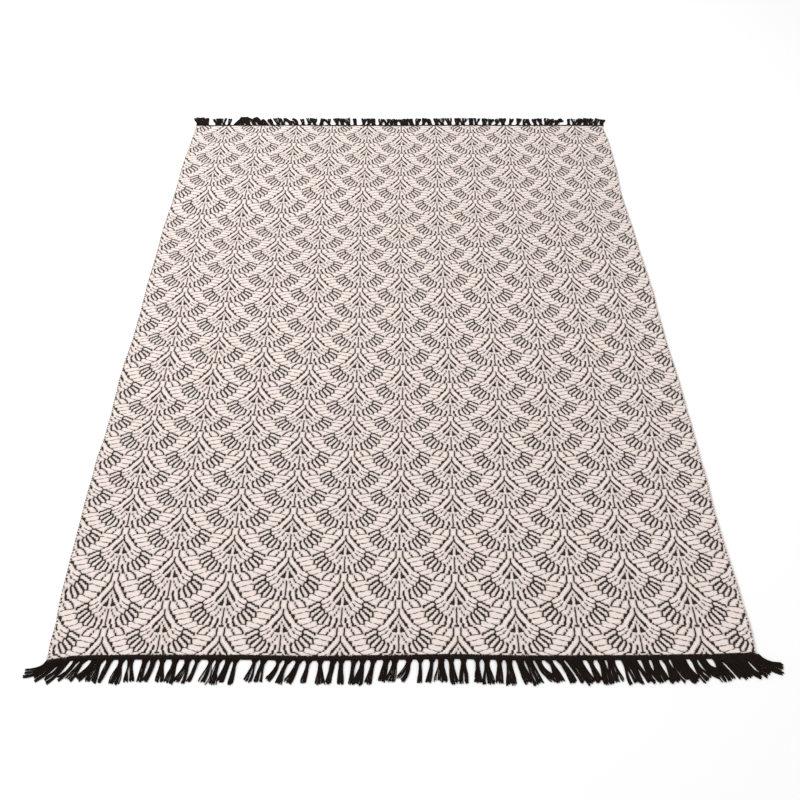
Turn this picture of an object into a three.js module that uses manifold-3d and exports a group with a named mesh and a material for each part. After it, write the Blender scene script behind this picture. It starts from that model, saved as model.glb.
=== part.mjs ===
// Kilim rug lying flat: a woven field and, 0.3 mm off each short end, a narrow band that holds a fringe.
// Units are millimetres. X runs across the rug, +Y towards its far end, +Z up, and the floor is z = 0.

import * as THREE from "three";
import { mergeVertices } from "three/addons/utils/BufferGeometryUtils.js";
import Module from "manifold-3d";

const wasm = await Module();
wasm.setup();

// Driving sizes of the woven field
const FIELD_WIDTH = 1600;
const FIELD_LENGTH = 2300;
const FIELD_THICKNESS = 5;
const EDGE_TURN = 1.6;
const EDGE_TURN_STARTS = 0.35;
const EDGE_TURN_ENDS = 0.7;
const CORNER_CUT = 5;
const SIDE_STEPS = 52;
const END_STEPS = 34;
const SELVEDGE_RIPPLE = 1.2;

// Driving sizes of the end bands
const BAND_GAP = 0.3;
const BAND_WIDTH = 8;
const BAND_HEIGHT = 4.6;
const BAND_SHOULDER = 1.4;

// Driving sizes of the fringe: each lock is two strands that lie on the floor
const STRAND_SIDES = [-1, 1];
const STRAND_STATIONS = 4;
const STRAND_ROOT = { halfWidth: 1.7, height: 3.0, aside: 2.1 };
const STRAND_TIP = { halfWidth: 3.0, height: 2.6, aside: 4.2 };
const STRAND_CROWN = 0.6;
const STRAND_IN_BAND = 3;
const LOCK_BEND = 0.4;
const LENGTH_SPREAD = 4;
const STRAND_LENGTH_SPREAD = 2;
const SIDEWAYS_SPREAD = 1.2;

// How far the field's long sides stand out beyond their nominal lines, at distances from the far end
const sideBulges = [
  { along: 0, left: 2, right: -1 },
  { along: 110, left: 7, right: 6 },
  { along: 280, left: 14, right: 6 },
  { along: 480, left: 13, right: -2 },
  { along: 700, left: 18, right: 2 },
  { along: 1000, left: 18, right: 8 },
  { along: 1210, left: 16, right: 4 },
  { along: 1400, left: 21, right: 7 },
  { along: 1600, left: 16, right: 5 },
  { along: 1740, left: 20, right: 4 },
  { along: 1940, left: 18, right: 0 },
  { along: 2120, left: 14, right: 3 },
  { along: 2240, left: 7, right: 6 },
  { along: 2300, left: 5, right: 2 },
];

// How far the field's short ends stand out beyond their nominal lines, at distances from the left side
const endBulges = [
  { across: 0, near: 11, far: 1 },
  { across: 28, near: 6, far: 0 },
  { across: 64, near: 0, far: -1 },
  { across: 220, near: -1, far: 1 },
  { across: 420, near: 0, far: 2 },
  { across: 600, near: 3, far: 0 },
  { across: 780, near: 1, far: -1 },
  { across: 900, near: -1, far: 1 },
  { across: 1080, near: 3, far: 2 },
  { across: 1300, near: 3, far: 0 },
  { across: 1460, near: 1, far: 1 },
  { across: 1600, near: -3, far: -1 },
];

// The locks of each fringe, bunch by bunch from the left corner. A bunch's first and last lock leave the
// band at these places, and their tips lie this far to the right, or to the left where it is negative.
const nearFringe = {
  lockLength: 57,
  bunches: [
    { locks: 3, first: 4, last: 42, firstLean: -49, lastLean: -30 },
    { locks: 5, first: 60, last: 143, firstLean: -24, lastLean: -19 },
    { locks: 5, first: 166, last: 262, firstLean: -5, lastLean: -7 },
    { locks: 3, first: 284, last: 337, firstLean: -12, lastLean: -17 },
    { locks: 4, first: 362, last: 426, firstLean: -7, lastLean: -15 },
    { locks: 6, first: 464, last: 587, firstLean: -5, lastLean: -17 },
    { locks: 8, first: 617, last: 782, firstLean: -4, lastLean: -10 },
    { locks: 1, first: 810, last: 810, firstLean: -20, lastLean: -20 },
    { locks: 2, first: 839, last: 862, firstLean: -6, lastLean: -4 },
    { locks: 7, first: 886, last: 1036, firstLean: 2, lastLean: 4 },
    { locks: 5, first: 1063, last: 1150, firstLean: 14, lastLean: 24 },
    { locks: 5, first: 1174, last: 1268, firstLean: 22, lastLean: 4 },
    { locks: 10, first: 1294, last: 1500, firstLean: 16, lastLean: 28 },
    { locks: 4, first: 1521, last: 1578, firstLean: 30, lastLean: 38 },
    { locks: 1, first: 1597, last: 1597, firstLean: 50, lastLean: 50 },
  ],
};
const farFringe = {
  lockLength: 52,
  bunches: [
    { locks: 3, first: 6, last: 50, firstLean: -22, lastLean: -22 },
    { locks: 4, first: 70, last: 134, firstLean: -10, lastLean: -17 },
    { locks: 5, first: 150, last: 250, firstLean: 10, lastLean: -20 },
    { locks: 6, first: 271, last: 388, firstLean: -20, lastLean: -12 },
    { locks: 4, first: 418, last: 490, firstLean: -2, lastLean: 0 },
    { locks: 4, first: 526, last: 600, firstLean: -12, lastLean: -8 },
    { locks: 1, first: 622, last: 622, firstLean: 0, lastLean: 0 },
    { locks: 2, first: 652, last: 676, firstLean: 2, lastLean: 0 },
    { locks: 3, first: 700, last: 745, firstLean: 0, lastLean: 4 },
    { locks: 5, first: 767, last: 850, firstLean: -1, lastLean: -10 },
    { locks: 3, first: 872, last: 918, firstLean: 8, lastLean: -2 },
    { locks: 2, first: 945, last: 970, firstLean: -8, lastLean: -10 },
    { locks: 3, first: 998, last: 1046, firstLean: -2, lastLean: 4 },
    { locks: 2, first: 1078, last: 1104, firstLean: 6, lastLean: 4 },
    { locks: 2, first: 1130, last: 1151, firstLean: 8, lastLean: 9 },
    { locks: 2, first: 1182, last: 1204, firstLean: 8, lastLean: 10 },
    { locks: 1, first: 1236, last: 1236, firstLean: 4, lastLean: 4 },
    { locks: 3, first: 1266, last: 1306, firstLean: 8, lastLean: 4 },
    { locks: 5, first: 1332, last: 1420, firstLean: 0, lastLean: 22 },
    { locks: 7, first: 1466, last: 1594, firstLean: 10, lastLean: 14 },
  ],
};

// Seeds that keep the uneven sizes apart. A side of the field or of a lock is -1 or 1.
const RIPPLE_SEED = 1;
const LEAN_SEED = 3;
const LENGTH_SEED = 4;
const STRAND_SEED = 6;

// A repeatable number from -1 to 1 for each index and seed
function vary(index, seed) {
  const wave = Math.sin(index * 12.9898 + seed * 78.233) * 43758.5453;
  return 2 * (wave - Math.floor(wave)) - 1;
}

// The value of a named column at a place along a table, eased from row to row
function readTable(rows, placeColumn, valueColumn, place) {
  const last = rows.length - 1;
  if (place <= rows[0][placeColumn]) return rows[0][valueColumn];
  if (place >= rows[last][placeColumn]) return rows[last][valueColumn];
  const next = rows.findIndex((row) => row[placeColumn] > place);
  const before = rows[next - 1];
  const after = rows[next];
  const part = (place - before[placeColumn]) / (after[placeColumn] - before[placeColumn]);
  const eased = part * part * (3 - 2 * part);
  return before[valueColumn] + (after[valueColumn] - before[valueColumn]) * eased;
}

// Y of the field's near or far edge at a distance across from the left side
function nearEdge(across) {
  return -FIELD_LENGTH / 2 - readTable(endBulges, "across", "near", across);
}

function farEdge(across) {
  return FIELD_LENGTH / 2 + readTable(endBulges, "across", "far", across);
}

// The solid between rings of points that follow each other, each ring seen counter-clockwise from the
// last ring's side, closed by flat caps over the first and last ring
function solidFromRings(rings, capTriangles) {
  const positions = rings.flat().flatMap((point) => [point.x, point.y, point.z]);
  const around = rings[0].length;
  const indices = [];
  for (let ring = 0; ring < rings.length - 1; ring += 1) {
    for (let side = 0; side < around; side += 1) {
      const a = ring * around + side;
      const b = ring * around + ((side + 1) % around);
      indices.push(a, b, b + around, a, b + around, a + around);
    }
  }
  const top = (rings.length - 1) * around;
  for (const [a, b, c] of capTriangles) {
    indices.push(a, c, b);
    indices.push(top + a, top + b, top + c);
  }
  const geometry = new THREE.BufferGeometry();
  geometry.setAttribute("position", new THREE.Float32BufferAttribute(positions, 3));
  geometry.setIndex(indices);
  return geometry;
}

// Caps for a ring whose outline bulges outwards all round
function fanTriangles(around) {
  return Array.from({ length: around - 2 }, (_, step) => [0, step + 1, step + 2]);
}

// Joining solids into one
function toSolid(geometry) {
  const merged = mergeVertices(geometry);
  const mesh = new wasm.Mesh({
    numProp: 3,
    vertProperties: new Float32Array(merged.attributes.position.array),
    triVerts: new Uint32Array(merged.index.array),
  });
  return new wasm.Manifold(mesh);
}

function toGeometry(solid) {
  const mesh = solid.getMesh();
  const geometry = new THREE.BufferGeometry();
  geometry.setAttribute("position", new THREE.BufferAttribute(mesh.vertProperties, 3));
  geometry.setIndex(new THREE.BufferAttribute(mesh.triVerts, 1));
  return geometry;
}

// Distances from the left side at which both short ends are drawn, on the field and on its bands
function endStations() {
  return Array.from({ length: END_STEPS + 1 }, (_, step) =>
    THREE.MathUtils.lerp(CORNER_CUT, FIELD_WIDTH - CORNER_CUT, step / END_STEPS),
  );
}

// One long side, from the near corner to the far one. side is -1 for the left and 1 for the right.
function fieldSide(side) {
  const column = side < 0 ? "left" : "right";
  const corner = side < 0 ? 0 : FIELD_WIDTH;
  const nearY = nearEdge(corner) + CORNER_CUT;
  const farY = farEdge(corner) - CORNER_CUT;
  return Array.from({ length: SIDE_STEPS + 1 }, (_, step) => {
    const y = THREE.MathUtils.lerp(nearY, farY, step / SIDE_STEPS);
    const bulge = readTable(sideBulges, "along", column, FIELD_LENGTH / 2 - y);
    const ripple = SELVEDGE_RIPPLE * vary(step, RIPPLE_SEED + side);
    return new THREE.Vector2(side * (FIELD_WIDTH / 2 + bulge + ripple), y);
  });
}

// The field's outline, counter-clockwise from the near left corner, its corners cut off a little
function fieldOutline() {
  const toPoint = (edge) => (across) => new THREE.Vector2(across - FIELD_WIDTH / 2, edge(across));
  return [
    ...endStations().map(toPoint(nearEdge)),
    ...fieldSide(1),
    ...endStations().reverse().map(toPoint(farEdge)),
    ...fieldSide(-1).reverse(),
  ];
}

// The field: one flat sheet with rounded edges
function makeField() {
  const outline = fieldOutline();
  const levels = [
    { height: 0, inset: EDGE_TURN },
    { height: FIELD_THICKNESS * EDGE_TURN_STARTS, inset: 0 },
    { height: FIELD_THICKNESS * EDGE_TURN_ENDS, inset: 0 },
    { height: FIELD_THICKNESS, inset: EDGE_TURN },
  ];
  const rings = levels.map(({ height, inset }) =>
    outline.map((point) => new THREE.Vector3(
      point.x * (1 - inset / (FIELD_WIDTH / 2)),
      point.y * (1 - inset / (FIELD_LENGTH / 2)),
      height,
    )),
  );
  return solidFromRings(rings, THREE.ShapeUtils.triangulateShape(outline, []));
}

// One end band: a low strip that follows the field's edge. outward is -1 at the near end and 1 at the far.
function makeBand(edge, outward) {
  const section = [
    { out: 0, height: 0 },
    { out: BAND_WIDTH, height: 0 },
    { out: BAND_WIDTH, height: BAND_HEIGHT - BAND_SHOULDER },
    { out: BAND_WIDTH - BAND_SHOULDER, height: BAND_HEIGHT },
    { out: BAND_SHOULDER, height: BAND_HEIGHT },
    { out: 0, height: BAND_HEIGHT - BAND_SHOULDER },
  ];
  const rings = [0, ...endStations(), FIELD_WIDTH].map((across) => {
    const ring = section.map(({ out, height }) => new THREE.Vector3(
      across - FIELD_WIDTH / 2,
      edge(across) + outward * (BAND_GAP + out),
      height,
    ));
    return outward < 0 ? ring.reverse() : ring;
  });
  return toSolid(solidFromRings(rings, fanTriangles(section.length)));
}

// The locks of a fringe, each with its root across the rug, its lean and its length
function layOutLocks(fringe) {
  return fringe.bunches.flatMap((bunch) =>
    Array.from({ length: bunch.locks }, (_, index) => {
      const part = bunch.locks > 1 ? index / (bunch.locks - 1) : 0;
      const root = THREE.MathUtils.lerp(bunch.first, bunch.last, part);
      const lean = THREE.MathUtils.lerp(bunch.firstLean, bunch.lastLean, part);
      return {
        root,
        lean: lean + SIDEWAYS_SPREAD * vary(root, LEAN_SEED),
        length: fringe.lockLength + LENGTH_SPREAD * vary(root, LENGTH_SEED),
      };
    }),
  );
}

// The middle line of a lock, as far as one of its strands reaches. It leaves the band nearly straight and
// turns into its lean. Each station has its place and the direction to the side.
function lockLine(lock, strandLength, edge, outward) {
  const meanAngle = Math.asin(lock.lean / lock.length);
  const start = edge(lock.root) + outward * (BAND_GAP + BAND_WIDTH - STRAND_IN_BAND);
  const place = new THREE.Vector2(lock.root - FIELD_WIDTH / 2, start);
  const total = strandLength + STRAND_IN_BAND;
  const stations = [];
  for (let station = 0; station < STRAND_STATIONS; station += 1) {
    const part = station / (STRAND_STATIONS - 1);
    const angle = meanAngle * (1 - LOCK_BEND + 2 * LOCK_BEND * part);
    const direction = new THREE.Vector2(Math.sin(angle), outward * Math.cos(angle));
    stations.push({ part, place: place.clone(), aside: new THREE.Vector2(direction.y, -direction.x) });
    const middleAngle = angle + (meanAngle * LOCK_BEND) / (STRAND_STATIONS - 1);
    const step = total / (STRAND_STATIONS - 1);
    place.x += step * Math.sin(middleAngle);
    place.y += outward * step * Math.cos(middleAngle);
  }
  return stations;
}

// One strand of four sides, flat on the floor. share is -1 or 1, its side of the lock.
function makeStrand(stations, share) {
  const rings = stations.map(({ part, place, aside }) => {
    const halfWidth = THREE.MathUtils.lerp(STRAND_ROOT.halfWidth, STRAND_TIP.halfWidth, part);
    const height = THREE.MathUtils.lerp(STRAND_ROOT.height, STRAND_TIP.height, part);
    const offset = share * THREE.MathUtils.lerp(STRAND_ROOT.aside, STRAND_TIP.aside, part);
    const corner = (sideways, z) => new THREE.Vector3(
      place.x + aside.x * (offset + sideways),
      place.y + aside.y * (offset + sideways),
      z,
    );
    return [
      corner(-halfWidth, 0),
      corner(-halfWidth * STRAND_CROWN, height),
      corner(halfWidth * STRAND_CROWN, height),
      corner(halfWidth, 0),
    ];
  });
  return toSolid(solidFromRings(rings, fanTriangles(rings[0].length)));
}

// A whole fringe: its band with the root of every strand fused into it
function makeFringe(fringe, edge, outward) {
  const pieces = [makeBand(edge, outward)];
  for (const lock of layOutLocks(fringe)) {
    for (const share of STRAND_SIDES) {
      const uneven = vary(lock.root, STRAND_SEED + share);
      const strandLength = lock.length + STRAND_LENGTH_SPREAD * uneven;
      pieces.push(makeStrand(lockLine(lock, strandLength, edge, outward), share));
    }
  }
  return toGeometry(wasm.Manifold.union(pieces));
}

function addMesh(group, name, geometry, color, roughness) {
  const material = new THREE.MeshStandardMaterial({ color, roughness, metalness: 0 });
  const mesh = new THREE.Mesh(geometry, material);
  mesh.name = name;
  group.add(mesh);
}

const OFF_WHITE = 0xd9cdc4;
const WARM_BLACK = 0x1e1916;

const rug = new THREE.Group();
addMesh(rug, "rug_field", makeField(), OFF_WHITE, 0.95);
addMesh(rug, "fringe_near", makeFringe(nearFringe, nearEdge, -1), WARM_BLACK, 0.9);
addMesh(rug, "fringe_far", makeFringe(farFringe, farEdge, 1), WARM_BLACK, 0.9);

// The origin is on the floor under the middle of the rug's outer box
const middle = new THREE.Box3().setFromObject(rug).getCenter(new THREE.Vector3());
rug.position.set(-middle.x, -middle.y, 0);

export default rug;
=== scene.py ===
# A kilim rug flat on a pale floor: the woven field with its fan pattern, and a fringe at each short end.
# Blender units are metres. Sizes below are millimetres, turned into metres where a mesh is made.
import math

import bpy
import numpy as np
from mathutils import Matrix, Vector


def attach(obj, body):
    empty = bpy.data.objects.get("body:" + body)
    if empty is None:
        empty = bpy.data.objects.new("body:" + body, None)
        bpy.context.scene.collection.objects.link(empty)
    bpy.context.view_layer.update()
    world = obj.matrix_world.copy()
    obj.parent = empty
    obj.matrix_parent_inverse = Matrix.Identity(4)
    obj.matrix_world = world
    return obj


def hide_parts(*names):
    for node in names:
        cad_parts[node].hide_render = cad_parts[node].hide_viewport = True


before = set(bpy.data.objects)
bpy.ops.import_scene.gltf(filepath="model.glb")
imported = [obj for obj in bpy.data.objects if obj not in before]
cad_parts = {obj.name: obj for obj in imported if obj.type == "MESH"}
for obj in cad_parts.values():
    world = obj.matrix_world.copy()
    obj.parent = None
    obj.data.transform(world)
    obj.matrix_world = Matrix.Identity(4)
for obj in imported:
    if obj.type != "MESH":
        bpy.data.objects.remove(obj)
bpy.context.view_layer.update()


def table(names, *rows):
    """A table: each row as a dictionary by the names of the columns."""
    return [dict(zip(names, row)) for row in rows]


def srgb(red, green, blue):
    """A colour given as display values from 0 to 255, as Blender's linear colour."""
    def linear(value):
        part = value / 255
        return part / 12.92 if part <= 0.04045 else ((part + 0.055) / 1.055) ** 2.4
    return (linear(red), linear(green), linear(blue), 1.0)


MM = 0.001

# The field as it was woven, and where its middle lies in the frame
FIELD_WIDTH = 1600
FIELD_LENGTH = 2300
FIELD_THICKNESS = 5
FIELD_MIDDLE = Vector((-2.47, 2.41, 0))

# The fan pattern: the mean distance between two columns of fans and between two rows, and the weft picks
# and warps that these take
COLUMN_STEP = 137.5
ROW_LENGTH = 132
PICKS_PER_ROW = 30
WARPS_PER_COLUMN_STEP = 52

# Where the columns of fans lie halfway along the rug, from its left side
column_places = table(
    ("column", "across"),
    (-1, -28),
    (0, 109),
    (1, 246),
    (2, 386),
    (3, 527),
    (4, 665),
    (5, 799),
    (6, 934),
    (7, 1071),
    (8, 1211),
    (9, 1349),
    (10, 1485),
    (11, 1622),
)

# Where the rows of fans lie, from the far edge, at the rug's left and right side. Every half row has a
# fan in every other column, and the half rows left out lie smoothly between the others.
row_places = table(
    ("half_row", "left", "right"),
    (-1, -18, -11),
    (0, 59, 65),
    (2, 205, 220),
    (4, 354, 373),
    (5, 428, 447),
    (6, 514, 516),
    (7, 611, 577),
    (8, 684, 637),
    (9, 746, 710),
    (10, 811, 785),
    (11, 873, 859),
    (12, 936, 934),
    (14, 1077, 1090),
    (16, 1219, 1230),
    (17, 1281, 1305),
    (18, 1354, 1377),
    (20, 1503, 1511),
    (22, 1626, 1635),
    (24, 1763, 1768),
    (26, 1887, 1896),
    (28, 2017, 2029),
    (29, 2085, 2097),
    (30, 2165, 2164),
    (31, 2235, 2239),
    (32, 2303, 2307),
)

# How far the columns wander to the right along the rug, at its left side, in its middle and at its right
column_drift = table(
    ("along", "left", "middle", "right"),
    (0, 12, 6, 1),
    (140, 6, 7, 4),
    (290, 1, 5, 0),
    (440, -2, 0, -5),
    (560, -3, -5, -7),
    (720, 0, -3, -4),
    (870, -2, 1, 1),
    (1010, 0, 4, 5),
    (1160, 3, 5, 4),
    (1300, 2, 5, 6),
    (1440, -1, 4, 4),
    (1570, -1, 1, 3),
    (1770, -3, -3, 0),
    (1960, -3, -7, -5),
    (2090, -1, -8, -6),
    (2240, 0, -10, -2),
    (2300, 0, -10, -1),
)

# The black lines of half a fan, charted. A path's points are (aside, along): aside from the fan's
# axis, and along from the middle of its two dark triangles towards the near end.
fan_lines = table(
    ("width", "path"),
    # The neck and the outer arc
    (3.4, [(8.6, -71), (8.6, -52.5)]),
    (3.6, [(10.5, -52.5), (12.5, -48.5)]),
    (6.0, [(14.6, -46), (15.6, -43.5)]),
    (3.4, [(17, -41.5), (19.6, -37.5)]),
    (7.6, [(23.2, -35.6), (24.4, -33)]),
    (3.0, [(25.4, -29.6), (28.6, -25.6)]),
    (7.2, [(31.6, -24.6), (32.8, -22)]),
    (3.0, [(33.6, -18.6), (37, -15)]),
    (2.0, [(37, -15), (43, -12.5)]),
    (4.6, [(44.5, -12.2), (46, -11.6)]),
    (2.0, [(47, -9.5), (53, -4.5)]),
    # The inner arc
    (3.2, [(0, -50), (0, -37.5)]),
    (3.8, [(1, -37), (5, -30), (8, -26)]),
    (4.8, [(8, -26), (12, -21)]),
    (6.4, [(13, -19), (19, -11)]),
    (4.0, [(19.5, -10), (21.5, -5)]),
    # The dark triangle
    (2.6, [(0, -21), (0, -17)]),
    (3.0, [(4.6, -13), (4.8, -9)]),
    (5.2, [(6, -6.4), (6, 3.8)]),
    (7.4, [(8.8, -2.2), (8.8, 2.2)]),
    (5.4, [(11, 0.6), (13.2, 1.2)]),
    # The stem and its foot
    (3.0, [(0, 12.5), (0, 53)]),
    (6.6, [(0, 55.5), (2.4, 55.5)]),
    # The broken rays
    (2.8, [(8, 13), (8.2, 16.5)]),
    (2.6, [(11.8, 21), (12.8, 24)]),
    (2.8, [(17, 28.5), (17.8, 31)]),
    (2.6, [(17, 7.5), (18, 10)]),
    (2.8, [(19.6, 12), (21.8, 16)]),
    (1.2, [(22, 16.5), (33, 21)]),
    (1.4, [(24.5, 0.5), (28, 3.5)]),
    (2.8, [(28.5, 4), (30.5, 7.5)]),
    (1.2, [(31, 8.5), (41, 11.5)]),
    (2.0, [(30, -6), (37, -0.5), (47, 3.5)]),
    # The strokes of the comb, from the stem outwards
    (5.2, [(10.6, 39), (10.6, 45.5)]),
    (3.0, [(10.8, 46), (13.6, 51.5)]),
    (5.6, [(14.4, 52.5), (15.2, 57.5)]),
    (5.2, [(25.6, 32), (23.8, 38)]),
    (3.4, [(23.8, 38), (25.4, 45)]),
    (5.4, [(26, 46), (28.5, 54)]),
    (4.2, [(29, 54.5), (35, 56)]),
    (3.2, [(35, 56), (42, 60)]),
    (3.6, [(42.5, 60.5), (48, 66), (52, 74)]),
    (4.6, [(33.4, 30), (36.4, 37.5), (43.8, 49)]),
    (4.6, [(41.6, 25.5), (46, 31)]),
    (5.4, [(46, 31), (56, 43)]),
    (3.6, [(55.2, 45), (54.2, 51)]),
    (4.2, [(49.5, 17.5), (58, 25.5)]),
    (5.8, [(59, 26.5), (63, 30)]),
    (4.8, [(63.5, 30.5), (67, 34.4)]),
    (3.4, [(66.8, 36), (66.6, 42.5)]),
    (4.4, [(52.5, 9), (61, 13.5)]),
    (5.8, [(62.5, 14.5), (67, 17.8)]),
    (4.8, [(67, 17.8), (74, 22.5)]),
    (3.6, [(74.4, 24), (75, 32.5)]),
    (5.6, [(53.5, -2.2), (60.5, -1.4)]),
    (4.0, [(61.5, -0.8), (69, 4), (77, 8)]),
    (4.2, [(78, 8), (78.4, 11.5)]),
    # The steps that join their heads
    (3.8, [(52, -1), (49.7, 2), (49.7, 5), (51.5, 9)]),
    (5.0, [(51.5, 8.5), (49, 13)]),
    (6.6, [(44.3, 15.4), (48, 15.2)]),
    (3.8, [(41.8, 18), (41.4, 25)]),
    (2.0, [(40, 25), (35.5, 24.6)]),
    (3.8, [(34.6, 23.5), (33.2, 29.5)]),
    # The roof over the next fan's neck
    (3.0, [(19.5, 60), (21, 61.5)]),
    (3.0, [(25.5, 65), (25.8, 67.5)]),
    (4.0, [(29.5, 72), (32, 76.5)]),
    (1.5, [(30, 78.5), (20, 82.5)]),
    (1.2, [(51, 76), (34, 77.5)]),
    # The thin lines between the feathers
    (1.6, [(46, 50.8), (53, 51.5)]),
    (1.6, [(58.5, 42.4), (66, 43)]),
    (1.8, [(69, 34), (75, 33)]),
    (1.4, [(52, 75), (59, 75)]),
    (1.6, [(77, 20.5), (84, 20)]),
    (1.1, [(84, 20), (97.5, 24.5), (112, 28)]),
    (2.2, [(102, 25.4), (103.5, 25.6)]),
    (1.1, [(75.5, 33), (87.5, 37.5), (103.5, 39)]),
    (2.4, [(94.6, 38), (95.6, 38)]),
    (1.1, [(66.5, 44.5), (73.5, 47.5), (91.5, 53)]),
    (1.1, [(55.5, 55), (67.5, 59.5), (76.5, 62)]),
)

# Lines from this width on are broad. Lines are held level over a share of each pick, as the weft steps
# them, and their edges fade between these distances outside and inside.
BROAD_LINE_WIDTH = 2.6
BROAD_LINE_STEP = 0.7
FINE_LINE_STEP = 0.3
LINE_FADE = (0.8, -0.48)

# Height of the pads over the lines between them, how far a pad takes to rise, and the slope at its foot,
# which begins a little inside the line
PAD_RISE = 1.0
PAD_SPREAD = 5.0
PAD_SLOPE = 0.55
PAD_FOOT = -0.3

# The near left corner is pulled to the right and outwards with its pattern, less with distance from it
CORNER_PULL = (10.0, 6.5)
CORNER_PULL_REACH = 130

# The off-white selvedge outside the pattern at both long sides: its width, the distance over which the
# pattern begins, and how far from the edges distances are still told apart
SELVEDGE_WIDTH = 4.0
SELVEDGE_FADE = 0.6
EDGE_REACH = 30.0

# The selvedge's dark ticks at every other pick: where one begins in its two picks, where it begins and
# ends from the edge, and how much longer some are. A tick fades in or out between the two of a pair.
TICK_PHASE = (0.45, 0.6)
TICK_START = (1.6, 2.4)
TICK_END = (2.0, 3.5)
TICK_SCATTER = -5.0

# The end band's black yarn reaches unevenly over the field's ends
END_TURN_FADE = (-1.8, -2.8)
END_TURN_SCATTER = -6.0

# How far picks are shoved aside and lines waver, and the noises' scales for places in millimetres
PICK_SHOVE = 1.3
LINE_WAVER = 2.2
WAVER_FINENESS = 0.16
YARN_FINENESS = 0.45
CLOUD_FINENESS = 0.012

# The off-white and black cotton. Each pair of tones is what a full effect adds, and what is there without
# it.
# The last pair is painted shade, which darkens the cotton where it lies low beside the lines. It lightens
# between these distances from a broad line's middle and from a fine line's edge, where it begins at this
# share.
WHITE_COTTON = (srgb(235, 220, 212), srgb(231, 219, 213))
BLACK_COTTON = (srgb(24, 17, 14), srgb(44, 33, 28))
PICK_TONE = (0.07, 0.965)
YARN_TONE = (0.30, 0.85)
CLOUD_TONE = (0.08, 0.96)
PAINTED_SHADE_TONE = (0.22, 0.80)
SHADE_FADE_BY_BROAD = (1.5, 7.0)
SHADE_FADE_BY_FINE = (-0.5, 3.0)
SHADE_AT_FINE_EDGE = 0.45
COTTON_ROUGHNESS = (0.15, 0.82)

# The bump in the material: furrows between picks, and the height of warps and fluff
PICK_FURROW = 1.2
WARP_HEIGHT = 0.35
FLUFF_HEIGHT = 0.4

# The field's mesh: how many of its cells make up a column step and a half row, how many of them one cell
# of its underside spans, the least distance of a grid line from the outline and the next one, how far the
# left side may stand out, and how full a corner is
CELLS_PER_COLUMN_STEP = 21
CELLS_PER_HALF_ROW = 10
UNDERSIDE_SPAN = 6
EDGE_MARGIN = 1.5
LEFT_BULGE = 18
CORNER_FULLNESS = 0.3

# The field's edge: the cut corners of its CAD node, the share of the thickness where that is widest and
# how closely points are taken there, and how far the edge turns in above and at each level below
CORNER_CUT = 5
EDGE_WIDEST_AT = 0.7
EDGE_TOLERANCE = 0.2
EDGE_TURN = 1.6
edge_levels = table(
    ("height", "inset"),
    (3.9, 0.5),
    (2.6, 0.0),
    (1.0, 0.4),
    (0.0, 1.5),
)

# The end bands: their place and size, the mesh's step, the distance between two turns of the yarn, how
# these slant and swell, and the section from the field outwards, in shares of the width and the height
BAND_GAP = 0.3
BAND_WIDTH = 8
BAND_HEIGHT = 4.6
BAND_STEP = 2.0
BAND_TURN = 4.6
TURN_SLANT = 1.2
TURN_TROUGH = 0.86
TURN_HEIGHT = 0.12
TURN_WIDTH = 0.35
TURNS_ACROSS_BAND = 3
band_section = table(
    ("out", "level"),
    (0.0, 0.0),
    (0.0, 0.55),
    (0.10, 0.86),
    (0.28, 1.0),
    (0.5, 0.93),
    (0.72, 1.0),
    (0.90, 0.86),
    (1.0, 0.55),
    (1.0, 0.0),
)

# A yarn of the fringe. Its tip is thicker by the bloom.
YARN_RADIUS = 1.1
YARN_SIDES = 5
YARN_STATIONS = 11
YARN_PLIES = 2
YARN_TWIST = 5.0
TIP_BLOOM = 0.25

# The look of the yarns, with the noises' scales for places in metres
FIBRE_FINENESS = 900.0
TUFT_FINENESS = 60.0
PLY_LIGHT = 0.2
LIT_FROM = (0.3, 0.85)
YARN_SHADES = (srgb(6, 4, 3), srgb(14, 10, 8))
YARN_LIT = srgb(52, 39, 32)
YARN_BUMP = 0.4
YARN_BUMP_STRENGTH = 0.8

# A lock: its yarns leave the band side by side, draw together at the waist and spread again to the tip.
# Powers space a yarn's stations and ease its way out to the tip.
YARNS_FOR_EACH_WAIST_MM = 3.3
ROOT_HALF_WIDTH = 9.0
WAIST_AT = 0.27
STRAND_IN_BAND = 3
LOCK_BEND = 0.4
LEAN_LIMIT = 0.9
STATION_POWER = 0.9
SPREAD_POWER = 0.8

# The yarns lie in layers, which rise most at the waist and sink towards the floor before the tip. Lengths
# are shares of a lock's, and the other shares are of a layer's rise.
LOCK_LAYERS = 3
LAYER_RISE = 1.4
RISE_AWAY_FROM_WAIST = 0.35
RISE_REACH = 0.35
SINK_END = 1.02
SINK_LENGTH = 0.25
RISE_AT_TIP = 0.25

# How the yarns of a lock differ. A pair is the range of a random draw, and a lock has one to three tufts.
WAIST_SHUFFLE = 1.0
TIP_SHUFFLE = 1.5
TIP_WIDENING = (0.5, 1.8)
TUFT_COUNTS = (1, 4)
TUFT_GATHER = (0.2, 0.5)
LENGTH_CHANGE = (-4.0, 2.5)
TIP_CHANGE = (-1.0, 1.0)
YARN_WAVES = (0.6, 1.7)
YARN_SWAY = (0.2, 1.0)
STRAY_SHARE = 0.1
STRAY_SWAY = (3.0, 7.0)
STRAY_WAVES = (0.4, 0.7)

# How far a lock may differ from its place in the tables, and how far from the corners it may do so fully
ROOT_SPREAD = 5.0
LENGTH_SPREAD = 4.0
WAIST_SPREAD = 0.45
BEND_SPREAD = 0.6
CORNER_REACH = 60

# How far the field's short ends stand out beyond their nominal lines, at distances from the left side
end_bulges = table(
    ("across", "near", "far"),
    (0, 11, 1),
    (28, 6, 0),
    (64, 0, -1),
    (220, -1, 1),
    (420, 0, 2),
    (600, 3, 0),
    (780, 1, -1),
    (900, -1, 1),
    (1080, 3, 2),
    (1300, 3, 0),
    (1460, 1, 1),
    (1600, -3, -1),
)

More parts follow.
